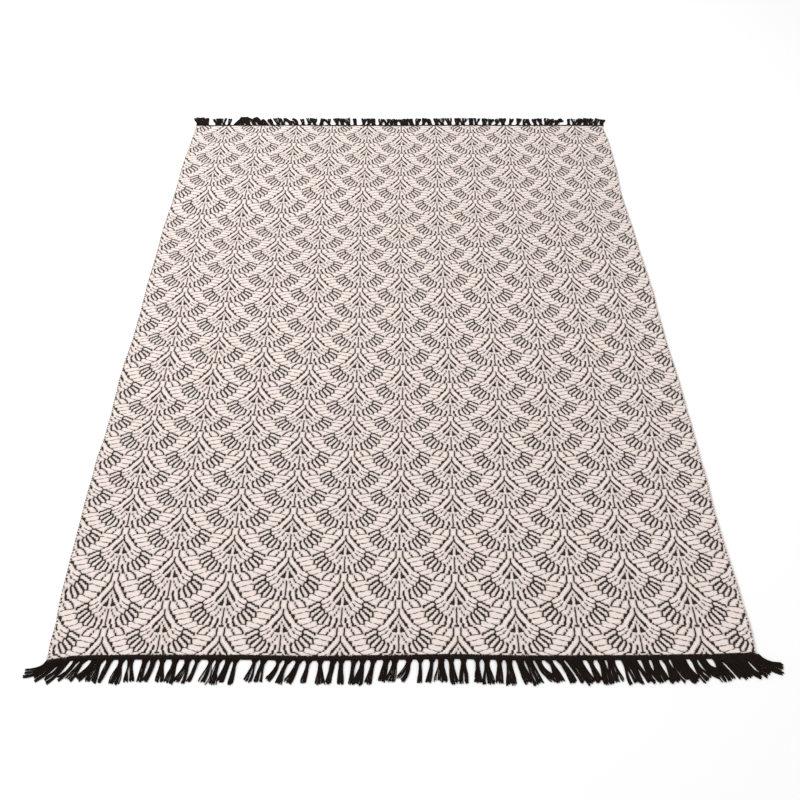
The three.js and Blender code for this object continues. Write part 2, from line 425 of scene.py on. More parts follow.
# The locks of each fringe, bunch by bunch from the left corner. A bunch's first and last lock leave the
# band at these places, and their tips lie this far to the right, or to the left where it is negative. The
# waist is half the width of a lock where it is drawn together, and "longer" is what a lock has over the
# fringe's lock length. The spreads are how far a lock's tip widens and how far its lean may differ.
bunch_columns = ("locks", "first", "last", "first_lean", "last_lean", "waist", "longer")
near_bunches = table(
    bunch_columns,
    (3, 4, 42, -49, -30, 6.5, 0),
    (5, 60, 143, -24, -19, 4.0, 0),
    (5, 166, 262, -5, -7, 4.0, 0),
    (3, 284, 337, -12, -17, 4.0, 0),
    (4, 362, 426, -7, -15, 4.0, 0),
    (6, 464, 587, -5, -17, 4.0, 0),
    (8, 617, 782, -4, -10, 4.0, 0),
    (1, 810, 810, -20, -20, 3.8, 0),
    (2, 839, 862, -6, -4, 4.0, 0),
    (7, 886, 1036, 2, 4, 4.4, 0),
    (5, 1063, 1150, 14, 24, 5.6, 0),
    (5, 1174, 1268, 22, 4, 6.0, 0),
    (10, 1294, 1500, 16, 28, 7.0, 0),
    (4, 1521, 1578, 30, 38, 7.5, 0),
    (1, 1597, 1597, 50, 50, 7.5, 0),
)
near_fringe = {"lock_length": 57, "tip_spread": 5.5, "lean_spread": 7, "bunches": near_bunches}
far_bunches = table(
    bunch_columns,
    (3, 6, 38, -16, -10, 6.0, 4),
    (4, 76, 124, -10, -6, 5.0, 3),
    (5, 150, 250, 18, -34, 7.0, 12),
    (6, 271, 388, -20, -12, 6.0, 0),
    (4, 418, 490, -2, 0, 5.2, 0),
    (4, 526, 600, -12, -8, 5.2, 0),
    (1, 622, 622, 0, 0, 4.8, 0),
    (2, 652, 676, 2, 0, 5.2, 0),
    (3, 700, 745, 0, 4, 5.2, 0),
    (5, 767, 850, -1, -10, 5.6, 0),
    (3, 872, 918, 8, -2, 5.2, 0),
    (2, 945, 970, -8, -10, 5.2, 0),
    (3, 998, 1046, -2, 4, 5.2, 0),
    (2, 1078, 1104, 6, 4, 5.2, 0),
    (2, 1130, 1151, 8, 9, 5.2, 0),
    (2, 1182, 1204, 8, 10, 5.2, 0),
    (1, 1236, 1236, 4, 4, 4.8, 0),
    (3, 1266, 1306, 8, 4, 5.2, 0),
    (5, 1332, 1420, 0, 22, 5.6, 0),
    (7, 1466, 1594, 10, 14, 5.6, 0),
)
far_fringe = {"lock_length": 50, "tip_spread": 7, "lean_spread": 9, "bunches": far_bunches}

# Seeds of the scattered numbers and of the random draws
ROOT_SEED = 2
LEAN_SEED = 3
LENGTH_SEED = 4
WAIST_SEED = 5
BEND_SEED = 6
NEAR_FRINGE_SEED = 11
FAR_FRINGE_SEED = 12

# What turns an index and a seed into a scattered number
SCATTER_INDEX = 12.9898
SCATTER_SEED = 78.233
SCATTER_SCALE = 43758.5453

# How many points the curves of columns and rows are read at, and the rounds that settle a place on them
CURVE_POINTS = 400
DRIFT_ROUNDS = 4

# The camera of the photo
CAMERA_PLACE = Vector((-0.0163, -2.2221, 1.9491)) + FIELD_MIDDLE * MM
CAMERA_PITCH = math.radians(46.088)
CAMERA_YAW = math.radians(0.335)
CAMERA_ROLL = math.radians(0.177)
CAMERA_LENS = 42.72

# The studio. The lamp's place and size are metres.
FLOOR_HALF_SIZE = 20000
FLOOR_TONE = 0.97
SURROUND_STRENGTH = 0.81
LAMP_PLACE = (-2.2, 1.6, 3.4)
LAMP_SIZE = 2.4
LAMP_POWER = 98


def vary(index, seed):
    """A repeatable number from -1 to 1 for each index and seed."""
    wave = math.sin(index * SCATTER_INDEX + seed * SCATTER_SEED) * SCATTER_SCALE
    return 2 * (wave - math.floor(wave)) - 1


def eased(part):
    """From 0 to 1 with level ends."""
    part = np.clip(part, 0, 1)
    return part * part * (3 - 2 * part)


def rows_around(rows, place_column, value_column, place):
    """Two columns of a table, and the number of the first row that lies after each place."""
    places = np.array([row[place_column] for row in rows], float)
    values = np.array([row[value_column] for row in rows], float)
    return places, values, np.clip(np.searchsorted(places, place, side="right"), 1, len(places) - 1)


def eased_between(rows, place_column, value_column, place):
    """The value of a table's column at a place, eased from row to row."""
    places, values, after = rows_around(rows, place_column, value_column, place)
    part = (place - places[after - 1]) / (places[after] - places[after - 1])
    return values[after - 1] + (values[after] - values[after - 1]) * eased(part)


def smoothly_between(rows, place_column, value_column, place):
    """The value of a table's column at a place, along a smooth curve through its rows."""
    places, values, after = rows_around(rows, place_column, value_column, place)
    slopes = np.gradient(values, places)
    step = places[after] - places[after - 1]
    part = (place - places[after - 1]) / step
    rise = values[after] - values[after - 1]
    start_slope = slopes[after - 1] * step - rise
    end_slope = rise - slopes[after] * step
    curve = (1 - part) * start_slope + part * end_slope
    return values[after - 1] + part * rise + part * (1 - part) * curve


def drift_at(across, along):
    """How far the columns have wandered to the right at a place of the field."""
    from_middle = np.clip((across - FIELD_WIDTH / 2) / (FIELD_WIDTH / 2), -1, 1)
    left, middle, right = (
        smoothly_between(column_drift, "along", name, along) for name in ("left", "middle", "right")
    )
    bend = (left + right) / 2 - middle
    return middle + (right - left) / 2 * from_middle + bend * from_middle ** 2


def pattern_place(across, along):
    """Column steps and half rows counted to a place of the field, given from its far left corner."""
    counted = np.linspace(column_places[0]["column"], column_places[-1]["column"], CURVE_POINTS)
    straight = smoothly_between(column_places, "column", "across", counted)
    columns = np.interp(across - drift_at(across, along), straight, counted)
    counted = np.linspace(row_places[0]["half_row"], row_places[-1]["half_row"], CURVE_POINTS)
    left = np.interp(along, smoothly_between(row_places, "half_row", "left", counted), counted)
    right = np.interp(along, smoothly_between(row_places, "half_row", "right", counted), counted)
    return columns, left + (right - left) * across / FIELD_WIDTH


def field_place(columns, half_rows):
    """The place of the field, from its far left corner, at a count of columns and half rows."""
    left = smoothly_between(row_places, "half_row", "left", half_rows)
    right = smoothly_between(row_places, "half_row", "right", half_rows)
    straight = smoothly_between(column_places, "column", "across", columns)
    across = straight
    for _ in range(DRIFT_ROUNDS):
        along = left + (right - left) * across / FIELD_WIDTH
        across = straight + drift_at(across, along)
    return across, along


def line_copies():
    """Every straight stretch of the fans' lines that reaches the quarter of the repeat that is drawn."""
    far_side = COLUMN_STEP / 2
    half_row = ROW_LENGTH / 2
    copies = []
    for line in fan_lines:
        reach = line["width"] / 2 + PAD_SPREAD / 2
        for start, end in zip(line["path"], line["path"][1:]):
            for row_shift in (-ROW_LENGTH, 0, ROW_LENGTH):
                plain = [(aside, along + row_shift) for aside, along in (start, end)]
                turned = [(COLUMN_STEP - aside, along + half_row) for aside, along in plain]
                for points in (plain, turned):
                    low_aside, high_aside = sorted(point[0] for point in points)
                    low_along, high_along = sorted(point[1] for point in points)
                    beside = low_aside > far_side + reach or high_aside < -reach
                    past = low_along > half_row + reach or high_along < -half_row - reach
                    if not beside and not past:
                        copies.append({"start": points[0], "end": points[1], "width": line["width"]})
    return copies


def folded_place(columns, half_rows):
    """A place of the pattern folded into the quarter of the repeat that is drawn, in millimetres."""
    fold = 1 - np.abs(columns % 2 - 1)
    turned = (fold > 0.5).astype(float)
    aside = (0.5 - np.abs(fold - 0.5)) * COLUMN_STEP
    along = ((half_rows + turned + 1) % 2 - 1) * ROW_LENGTH / 2
    return aside, along


def distance_to_lines(columns, half_rows):
    """Distance in millimetres from the edge of the nearest black line, negative inside it."""
    aside, along = folded_place(columns, half_rows)
    nearest = np.full(aside.shape, ROW_LENGTH)
    for line in line_copies():
        run_aside = line["end"][0] - line["start"][0]
        run_along = line["end"][1] - line["start"][1]
        from_aside = aside - line["start"][0]
        from_along = along - line["start"][1]
        part = (from_aside * run_aside + from_along * run_along) / (run_aside ** 2 + run_along ** 2)
        part = np.clip(part, 0, 1)
        off = np.hypot(from_aside - part * run_aside, from_along - part * run_along)
        nearest = np.minimum(nearest, off - line["width"] / 2)
    return nearest


def pad_height(columns, half_rows):
    """Height of the pads at each place, averaged over one cell of the mesh around it."""
    shares = (-1 / 3, 0, 1 / 3)
    total = 0
    for column_share in shares:
        for row_share in shares:
            distance = distance_to_lines(
                columns + column_share / CELLS_PER_COLUMN_STEP,
                half_rows + row_share / CELLS_PER_HALF_ROW,
            )
            part = np.clip(distance / PAD_SPREAD, 0, 1)
            total = total + part * (2 - part)
    return PAD_RISE * total / len(shares) ** 2


def field_edges():
    """The field's edges, read from its CAD node: places along each edge, and where it lies there."""
    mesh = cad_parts["rug_field"].data
    points = np.zeros(len(mesh.vertices) * 3)
    mesh.vertices.foreach_get("co", points)
    points = points.reshape(-1, 3) / MM
    widest = points[np.abs(points[:, 2] - EDGE_WIDEST_AT * FIELD_THICKNESS) < EDGE_TOLERANCE]
    from_middle = widest - np.array(FIELD_MIDDLE)
    beside = np.abs(from_middle[:, 0]) > FIELD_WIDTH / 2 - CORNER_CUT + EDGE_TOLERANCE / 2
    edges = {}
    for name, chosen, axis in (
        ("left", beside & (from_middle[:, 0] < 0), 1),
        ("right", beside & (from_middle[:, 0] > 0), 1),
        ("near", ~beside & (from_middle[:, 1] < 0), 0),
        ("far", ~beside & (from_middle[:, 1] > 0), 0),
    ):
        edge = widest[chosen]
        edge = edge[np.argsort(edge[:, axis])]
        edges[name] = (edge[:, axis], edge[:, 1 - axis])
    return edges


class Graph:
    """The nodes of one material, added in the order of a formula."""

    def __init__(self, name):
        self.material = bpy.data.materials.new(name)
        self.material.use_nodes = True
        self.tree = self.material.node_tree
        self.shader = self.tree.nodes["Principled BSDF"]

    def feed(self, socket, value):
        if isinstance(value, bpy.types.NodeSocket):
            self.tree.links.new(value, socket)
        else:
            socket.default_value = value

    def add(self, kind, inputs=(), **settings):
        """Adds a node. Its inputs are pairs of a socket's name or number and what feeds it."""
        node = self.tree.nodes.new(kind)
        for name, value in settings.items():
            setattr(node, name, value)
        for socket, value in inputs:
            self.feed(node.inputs[socket], value)
        return node

    def look(self, name, value):
        """Feeds an input of the shader."""
        self.feed(self.shader.inputs[name], value)

    def math(self, operation, *values):
        return self.add("ShaderNodeMath", enumerate(values), operation=operation).outputs["Value"]

    def clamp(self, value):
        return self.add("ShaderNodeClamp", [("Value", value)]).outputs["Result"]

    def vector(self, operation, *values):
        node = self.add("ShaderNodeVectorMath", enumerate(values), operation=operation)
        return node.outputs["Value" if operation in {"DOT_PRODUCT", "DISTANCE", "LENGTH"} else "Vector"]

    def scaled(self, vector, scale):
        inputs = [(0, vector), ("Scale", scale)]
        return self.add("ShaderNodeVectorMath", inputs, operation="SCALE").outputs["Vector"]

    def mix(self, factor, first, second):
        inputs = [(0, factor), (6, first), (7, second)]
        return self.add("ShaderNodeMix", inputs, data_type="RGBA").outputs[2]

    def mix_vectors(self, factor, first, second):
        inputs = [(0, factor), (4, first), (5, second)]
        return self.add("ShaderNodeMix", inputs, data_type="VECTOR").outputs[1]

    def split(self, vector):
        """The first two parts of a vector."""
        return self.add("ShaderNodeSeparateXYZ", [(0, vector)]).outputs[:2]

    def uv_pair(self, name):
        return self.split(self.add("ShaderNodeUVMap", uv_map=name).outputs["UV"])

    def join(self, *values):
        return self.add("ShaderNodeCombineXYZ", enumerate(values)).outputs[0]

    def ramp(self, value, low, high, to_low=0.0, to_high=1.0):
        inputs = enumerate((value, low, high, to_low, to_high))
        return self.add("ShaderNodeMapRange", inputs, interpolation_type="SMOOTHSTEP").outputs["Result"]

    def noise(self, place, scale, detail=2.0, roughness=0.5):
        inputs = [("Vector", place), ("Scale", scale), ("Detail", detail), ("Roughness", roughness)]
        return self.add("ShaderNodeTexNoise", inputs).outputs["Fac"]


def nearest_line(graph, point, lines, with_offset=False):
    """Distance from the nearest line's edge, and the way from its middle line if that is asked for."""
    nearest = ROW_LENGTH
    nearest_offset = (0, 0, 1)
    for line in lines:
        start = Vector((*line["start"], 0))
        run = Vector((*line["end"], 0)) - start
        from_start = graph.vector("SUBTRACT", point, start)
        part = graph.clamp(graph.vector("DOT_PRODUCT", from_start, run / run.length_squared))
        foot = graph.scaled(run, part)
        if with_offset:
            offset = graph.vector("SUBTRACT", from_start, foot)
            distance = graph.math("SUBTRACT", graph.vector("LENGTH", offset), line["width"] / 2)
            closer = graph.math("LESS_THAN", distance, nearest)
            nearest_offset = graph.mix_vectors(closer, nearest_offset, offset)
        else:
            distance = graph.vector("DISTANCE", from_start, foot)
            distance = graph.math("SUBTRACT", distance, line["width"] / 2)
        nearest = graph.math("MINIMUM", distance, nearest)
    return nearest, nearest_offset


def woven_material():
    """Chunky off-white cotton weave, the black fan lines sunken between its pads with painted shade by
    them.
    """
    graph = Graph("woven cotton")
    columns, half_rows = graph.uv_pair("Lattice")

    # The weft picks, each of them shoved aside a little, and slow wavering of the lines
    picks = graph.math("MULTIPLY", half_rows, PICKS_PER_ROW / 2)
    pick_number = graph.math("FLOOR", picks)
    in_pick = graph.math("SUBTRACT", graph.math("FRACT", picks), 0.5)
    white_noise = graph.add("ShaderNodeTexWhiteNoise", [("W", pick_number)], noise_dimensions="1D")
    pick_chance = white_noise.outputs["Value"]
    place = graph.join(
        graph.math("MULTIPLY", columns, COLUMN_STEP),
        graph.math("MULTIPLY", half_rows, ROW_LENGTH / 2),
    )
    waver = graph.math("SUBTRACT", graph.noise(place, WAVER_FINENESS, detail=1.0), 0.5)
    shove = graph.math("MULTIPLY", graph.math("SUBTRACT", pick_chance, 0.5), PICK_SHOVE / COLUMN_STEP)
    moved = graph.math("ADD", columns, shove)
    moved = graph.math("MULTIPLY_ADD", waver, LINE_WAVER / COLUMN_STEP, moved)

    # The place folded into the quarter of the repeat that holds the chart
    fold = graph.math("PINGPONG", moved, 1.0)
    turned = graph.math("GREATER_THAN", fold, 0.5)
    to_axis = graph.math("ABSOLUTE", graph.math("SUBTRACT", fold, 0.5))
    aside = graph.math("MULTIPLY", graph.math("SUBTRACT", 0.5, to_axis), COLUMN_STEP)
    points = []
    for step in (BROAD_LINE_STEP, FINE_LINE_STEP):
        stepped = graph.math("MULTIPLY_ADD", in_pick, -2 * step / PICKS_PER_ROW, half_rows)
        stepped = graph.math("WRAP", graph.math("ADD", stepped, turned), 1.0, -1.0)
        points.append(graph.join(aside, graph.math("MULTIPLY", stepped, ROW_LENGTH / 2)))
    broad_lines = [line for line in line_copies() if line["width"] >= BROAD_LINE_WIDTH]
    fine_lines = [line for line in line_copies() if line["width"] < BROAD_LINE_WIDTH]
    broad, offset = nearest_line(graph, points[0], broad_lines, with_offset=True)
    fine, _ = nearest_line(graph, points[1], fine_lines)

    # The selvedge: off-white outside the pattern, with a dark tick at every other pick
    from_edge, from_end = graph.uv_pair("Edge")
    in_field = graph.ramp(from_edge, SELVEDGE_WIDTH - SELVEDGE_FADE, SELVEDGE_WIDTH + SELVEDGE_FADE)
    pair = graph.math("PINGPONG", picks, 1.0)
    tick_end = graph.math("MULTIPLY_ADD", pick_chance, TICK_SCATTER, from_edge)
    tick = graph.math("SUBTRACT", graph.ramp(pair, *TICK_PHASE), graph.ramp(tick_end, *TICK_END))
    tick = graph.math("MULTIPLY", graph.clamp(tick), graph.ramp(from_edge, *TICK_START))

    # What is black: the lines, the ticks and the end band's first turns
    nearest = graph.math("MINIMUM", broad, fine)
    black = graph.math("MULTIPLY", graph.ramp(nearest, *LINE_FADE), in_field)
    black = graph.math("MAXIMUM", black, tick)
    yarn = graph.noise(place, YARN_FINENESS, detail=3.0, roughness=0.7)
    end_turn = graph.math("MULTIPLY_ADD", yarn, END_TURN_SCATTER, from_end)
    black = graph.math("MAXIMUM", black, graph.ramp(end_turn, *END_TURN_FADE))

    # The colours, with painted shade where the cotton lies low beside the lines
    shade_by_broad = graph.ramp(graph.vector("LENGTH", offset), *SHADE_FADE_BY_BROAD)
    shade_by_fine = graph.ramp(fine, *SHADE_FADE_BY_FINE, to_low=SHADE_AT_FINE_EDGE)
    painted_shade = graph.math("MINIMUM", shade_by_broad, shade_by_fine)
    cloud = graph.noise(place, CLOUD_FINENESS, detail=3.0)
    tone_and_shade = graph.math("MULTIPLY_ADD", pick_chance, *PICK_TONE)
    tone_and_shade = graph.math("MULTIPLY", tone_and_shade, graph.math("MULTIPLY_ADD", yarn, *YARN_TONE))
    tone_and_shade = graph.math("MULTIPLY", tone_and_shade, graph.math("MULTIPLY_ADD", cloud, *CLOUD_TONE))
    tone_and_shade = graph.math("MULTIPLY", tone_and_shade, graph.math("MULTIPLY_ADD", painted_shade, *PAINTED_SHADE_TONE))
    white = graph.scaled(graph.mix(cloud, *WHITE_COTTON), tone_and_shade)
    dark = graph.mix(yarn, *BLACK_COTTON)
    graph.look("Base Color", graph.mix(black, white, dark))

    # The pads' slopes beside the broad lines tilt the normal, and picks, warps and yarn are a bump on it
    slope = graph.ramp(broad, 0.0, PAD_SPREAD, PAD_SLOPE, 0.0)
    slope = graph.math("MULTIPLY", slope, graph.math("GREATER_THAN", broad, PAD_FOOT))
    slope = graph.math("MULTIPLY", slope, in_field)
    to_right, to_near = graph.split(graph.vector("NORMALIZE", offset))
    mirrored = graph.math("GREATER_THAN", graph.math("FRACT", moved), 0.5)
    to_right = graph.math("MULTIPLY", to_right, graph.math("MULTIPLY_ADD", mirrored, 2.0, -1.0))
    tilt = graph.scaled(graph.join(to_right, to_near), slope)
    flat_normal = graph.add("ShaderNodeNewGeometry").outputs["Normal"]
    normal = graph.vector("NORMALIZE", graph.vector("ADD", flat_normal, tilt))
    furrow = graph.math("MULTIPLY", graph.math("MULTIPLY", in_pick, in_pick), -PICK_FURROW)
    warps = graph.math("MULTIPLY", columns, WARPS_PER_COLUMN_STEP)
    warps = graph.math("MULTIPLY_ADD", pick_number, 0.5, warps)
    between_warps = graph.math("ABSOLUTE", graph.math("SUBTRACT", graph.math("FRACT", warps), 0.5))
    height = graph.math("MULTIPLY_ADD", between_warps, WARP_HEIGHT, furrow)
    height = graph.math("MULTIPLY_ADD", yarn, FLUFF_HEIGHT, height)
    bump = graph.add("ShaderNodeBump", [("Distance", MM), ("Height", height), ("Normal", normal)])
    graph.look("Normal", bump.outputs[0])
    graph.look("Roughness", graph.math("MULTIPLY_ADD", yarn, *COTTON_ROUGHNESS))
    graph.look("Specular IOR Level", 0.2)
    graph.look("Sheen Weight", 0.15)
    graph.look("Sheen Roughness", 0.5)
    return graph.material


def yarn_material():
    """Matt twisted black cotton yarn."""
    graph = Graph("black cotton yarn")
    around, along = graph.uv_pair("Yarn")
    turns = graph.math("MULTIPLY_ADD", along, 1 / YARN_TWIST, around)
    ply = graph.math("SINE", graph.math("MULTIPLY", turns, 2 * math.pi * YARN_PLIES))
    place = graph.add("ShaderNodeTexCoord").outputs["Object"]
    fibre = graph.noise(place, FIBRE_FINENESS, detail=3.0)
    tuft = graph.noise(place, TUFT_FINENESS)
    lit = graph.ramp(graph.math("MULTIPLY_ADD", ply, PLY_LIGHT, fibre), *LIT_FROM)
    dark = graph.mix(tuft, *YARN_SHADES)
    graph.look("Base Color", graph.mix(lit, dark, YARN_LIT))
    height = graph.math("MULTIPLY_ADD", fibre, 0.5, graph.math("MULTIPLY", ply, 0.5))
    inputs = [("Strength", YARN_BUMP_STRENGTH), ("Distance", YARN_BUMP * MM), ("Height", height)]
    bump = graph.add("ShaderNodeBump", inputs)
    graph.look("Normal", bump.outputs[0])
    graph.look("Roughness", graph.math("MULTIPLY_ADD", fibre, *COTTON_ROUGHNESS))
    graph.look("Specular IOR Level", 0.05)
    graph.look("Sheen Weight", 0.01)
    return graph.material


def new_object(name, vertices, faces, uv_maps, material):
    """A smooth mesh object from points in millimetres. A UV map has a pair for each point."""
    mesh = bpy.data.meshes.new(name)
    mesh.from_pydata((np.asarray(vertices) * MM).tolist(), [], faces)
    corners = np.zeros(len(mesh.loops), int)
    mesh.loops.foreach_get("vertex_index", corners)
    for uv_name, uvs in uv_maps.items():
        layer = mesh.uv_layers.new(name=uv_name)
        layer.data.foreach_set("uv", np.asarray(uvs, float)[corners].ravel())
    mesh.polygons.foreach_set("use_smooth", [True] * len(mesh.polygons))
    mesh.materials.append(material)
    mesh.update()
    piece = bpy.data.objects.new(name, mesh)
    bpy.context.scene.collection.objects.link(piece)
    return piece


def squeezed(lines, low, high):
    """Grid lines kept inside the edges at low and high, and apart from them and each other."""
    room = EDGE_MARGIN * np.arange(1, lines.shape[-1] + 1)
    lines = np.maximum(lines, low + room)
    return np.minimum(lines, high - room[::-1])


def field_grid(edges):
    """The points of the field's top, on lines that follow the pattern, inside the outline's own."""
    left_end, far_end = pattern_place(0, 0)
    right_end, near_end = pattern_place(FIELD_WIDTH, FIELD_LENGTH)
    first = math.ceil((left_end - LEFT_BULGE / COLUMN_STEP) * CELLS_PER_COLUMN_STEP)
    last = math.floor(right_end * CELLS_PER_COLUMN_STEP)
    columns = np.arange(first, last + 1) / CELLS_PER_COLUMN_STEP
    first = math.ceil(far_end * CELLS_PER_HALF_ROW)
    last = math.floor(near_end * CELLS_PER_HALF_ROW)
    half_rows = np.arange(first, last + 1) / CELLS_PER_HALF_ROW
    across, along = field_place(*np.meshgrid(columns, half_rows))
    x = (FIELD_MIDDLE.x + across - FIELD_WIDTH / 2)[::-1]
    y = (FIELD_MIDDLE.y + FIELD_LENGTH / 2 - along)[::-1]
    left = np.interp(y[:, :1], *edges["left"])
    right = np.interp(y[:, -1:], *edges["right"])
    x = squeezed(x, left, right)
    near = np.interp(x[:1], *edges["near"])
    far = np.interp(x[-1:], *edges["far"])
    y = squeezed(y.T, near.T, far.T).T

    rows, cols = x.shape
    grid = np.zeros((rows + 2, cols + 2, 2))
    grid[1:-1, 1:-1, 0] = x
    grid[1:-1, 1:-1, 1] = y
    grid[1:-1, 0] = np.column_stack([np.interp(y[:, 0], *edges["left"]), y[:, 0]])
    grid[1:-1, -1] = np.column_stack([np.interp(y[:, -1], *edges["right"]), y[:, -1]])
    grid[0, 1:-1] = np.column_stack([x[0], np.interp(x[0], *edges["near"])])
    grid[-1, 1:-1] = np.column_stack([x[-1], np.interp(x[-1], *edges["far"])])
    for row, col in ((0, 0), (0, -1), (-1, 0), (-1, -1)):
        along_end = grid[row, 1 if col == 0 else -2]
        along_side = grid[1 if row == 0 else -2, col]
        outward = (along_side - along_end) * (1, -1)
        grid[row, col] = (along_end + along_side) / 2 + outward * CORNER_FULLNESS
    return grid


def make_field(material):
    """The woven field: one closed sheet whose top rises into pads between the sunken black lines."""
    edges = field_edges()
    grid = field_grid(edges)
    x, y = grid[..., 0], grid[..., 1]
    across = x - FIELD_MIDDLE.x + FIELD_WIDTH / 2
    along = FIELD_LENGTH / 2 - y + FIELD_MIDDLE.y
    pull = np.exp(-(across ** 2 + (FIELD_LENGTH - along) ** 2) / CORNER_PULL_REACH ** 2)
    across = across - CORNER_PULL[0] * pull
    along = along - CORNER_PULL[1] * pull
    columns, half_rows = pattern_place(across, along)
    from_edge = np.minimum(x - np.interp(y, *edges["left"]), np.interp(y, *edges["right"]) - x)
    from_edge = np.clip(from_edge, 0, EDGE_REACH)
    from_end = np.minimum(y - np.interp(x, *edges["near"]), np.interp(x, *edges["far"]) - y)
    from_end = np.clip(from_end, 0, EDGE_REACH)
    z = FIELD_THICKNESS - PAD_RISE + pad_height(columns, half_rows)
    rows, cols = x.shape
    index = np.arange(rows * cols).reshape(rows, cols)
    top = np.stack([x, y, z], axis=-1).reshape(-1, 3)
    lattice = np.stack([columns, half_rows], axis=-1).reshape(-1, 2)
    edge_place = np.stack([from_edge, from_end], axis=-1).reshape(-1, 2)
    quads = np.stack([index[:-1, :-1], index[:-1, 1:], index[1:, 1:], index[1:, :-1]], axis=-1)
    faces = quads.reshape(-1, 4).tolist()

    # The rounded edge, as rings of points from the top's border down to the floor
    border = np.concatenate([index[0, :-1], index[:-1, -1], index[-1, :0:-1], index[:0:-1, 0]])
    outline = top[border, :2].copy()
    top[border, :2] = inset(outline, EDGE_TURN)
    top[border, 2] = FIELD_THICKNESS - PAD_RISE / 2
    points = [top]
    rings = [border]
    for level in edge_levels:
        rings.append(np.arange(len(border)) + sum(len(part) for part in points))
        heights = np.full(len(border), level["height"])
        points.append(np.column_stack([inset(outline, level["inset"]), heights]))
    for upper, lower in zip(rings, rings[1:]):
        faces += np.stack([upper, lower, np.roll(lower, -1), np.roll(upper, -1)], axis=-1).tolist()
    source = [np.arange(len(top))] + [border] * len(edge_levels)

    # The underside: coarse cells, whose outer sides keep every point of the lowest ring
    low = np.full(rows * cols, -1)
    low[border] = rings[-1]
    row_stops = [*range(0, rows - 1, UNDERSIDE_SPAN), rows - 1]
    col_stops = [*range(0, cols - 1, UNDERSIDE_SPAN), cols - 1]
    inner = index[np.ix_(row_stops[1:-1], col_stops[1:-1])].ravel()
    low[inner] = np.arange(len(inner)) + sum(len(part) for part in points)
    points.append(top[inner] * (1, 1, 0))
    source.append(inner)
    for first_row, last_row in zip(row_stops, row_stops[1:]):
        for first_col, last_col in zip(col_stops, col_stops[1:]):
            loop = [
                *index[first_row:last_row, first_col],
                *index[last_row, first_col:last_col],
                *index[last_row:first_row:-1, last_col],
                *index[first_row, last_col:first_col:-1],
            ]
            faces.append([int(low[point]) for point in loop if low[point] >= 0])
    source = np.concatenate(source)
    uv_maps = {"Lattice": lattice[source], "Edge": edge_place[source]}
    return new_object("woven_field", np.concatenate(points), faces, uv_maps, material)


def inset(outline, amount):
    """Points of the outline drawn in towards the field's middle by an amount at each side."""
    middle = np.array(FIELD_MIDDLE[:2])
    half_size = np.array([FIELD_WIDTH / 2, FIELD_LENGTH / 2])
    return middle + (outline - middle) * (1 - amount / half_size)


def end_edge(side, across):
    """Y of the field's near or far edge in the frame, at a distance across from the left side."""
    outward = -1 if side == "near" else 1
    bulge = eased_between(end_bulges, "across", side, across)
    return FIELD_MIDDLE.y + outward * (FIELD_LENGTH / 2 + bulge)


def lay_out_locks(fringe):
    """The locks of a fringe, each with its root across the rug and its lean, length, waist and bend."""
    locks = []
    for bunch in fringe["bunches"]:
        for index in range(bunch["locks"]):
            part = index / (bunch["locks"] - 1) if bunch["locks"] > 1 else 0
            root = bunch["first"] + (bunch["last"] - bunch["first"]) * part
            lean = bunch["first_lean"] + (bunch["last_lean"] - bunch["first_lean"]) * part
            loose = min(1, min(root, FIELD_WIDTH - root) / CORNER_REACH)
            shift = loose * ROOT_SPREAD * vary(root, ROOT_SEED)
            length = fringe["lock_length"] + bunch["longer"]
            locks.append({
                "root": root + shift,
                "lean": lean - shift + loose * fringe["lean_spread"] * vary(root, LEAN_SEED),
                "length": length + LENGTH_SPREAD * vary(root, LENGTH_SEED),
                "tip_spread": fringe["tip_spread"],
                "waist": bunch["waist"] * (1 + loose * WAIST_SPREAD * vary(root, WAIST_SEED)),
                "yarns": round(bunch["waist"] * YARNS_FOR_EACH_WAIST_MM),
                "bend": LOCK_BEND + loose * BEND_SPREAD * vary(root, BEND_SEED),
            })
    return locks


def lock_line(lock, length, side, stations):
    """Middle line of a lock, which bends as it runs: its points and the directions to its side."""
    outward = -1 if side == "near" else 1
    mean_angle = math.asin(np.clip(lock["lean"] / lock["length"], -LEAN_LIMIT, LEAN_LIMIT))
    start_y = end_edge(side, lock["root"]) + outward * (BAND_GAP + BAND_WIDTH - STRAND_IN_BAND)
    place = np.array([FIELD_MIDDLE.x + lock["root"] - FIELD_WIDTH / 2, start_y])
    step = (length + STRAND_IN_BAND) / (stations - 1)
    points = []
    asides = []
    for station in range(stations):
        part = station / (stations - 1)
        angle = mean_angle * (1 - lock["bend"] + 2 * lock["bend"] * part)
        points.append(place.copy())
        asides.append([outward * math.cos(angle), -math.sin(angle)])
        middle_angle = angle + mean_angle * lock["bend"] / (stations - 1)
        place = place + step * np.array([math.sin(middle_angle), outward * math.cos(middle_angle)])
    return np.array(points), np.array(asides)


def add_tube(parts, points, radii):
    """Adds a closed round tube along points to the lists of vertices, faces and UVs."""
    vertices, faces, uvs = parts
    start = len(vertices)
    count = len(points)
    directions = np.gradient(points, axis=0)
    directions /= np.linalg.norm(directions, axis=1)[:, None]
    sideways = np.cross(directions, [0, 0, 1])
    sideways /= np.linalg.norm(sideways, axis=1)[:, None]
    upward = np.cross(sideways, directions)
    lengths = np.concatenate([[0], np.cumsum(np.linalg.norm(np.diff(points, axis=0), axis=1))])
    for station in range(count):
        for corner in range(YARN_SIDES):
            angle = 2 * math.pi * corner / YARN_SIDES
            offset = math.cos(angle) * sideways[station] + math.sin(angle) * upward[station]
            vertices.append(points[station] + radii[station] * offset)
            uvs.append((corner / YARN_SIDES, lengths[station]))
    for station in range(count - 1):
        for corner in range(YARN_SIDES):
            after = (corner + 1) % YARN_SIDES
            low = start + station * YARN_SIDES
            high = low + YARN_SIDES
            faces.append([low + corner, high + corner, high + after, low + after])
    last = start + (count - 1) * YARN_SIDES
    faces.append([start + corner for corner in range(YARN_SIDES)])
    faces.append([last + corner for corner in reversed(range(YARN_SIDES))])


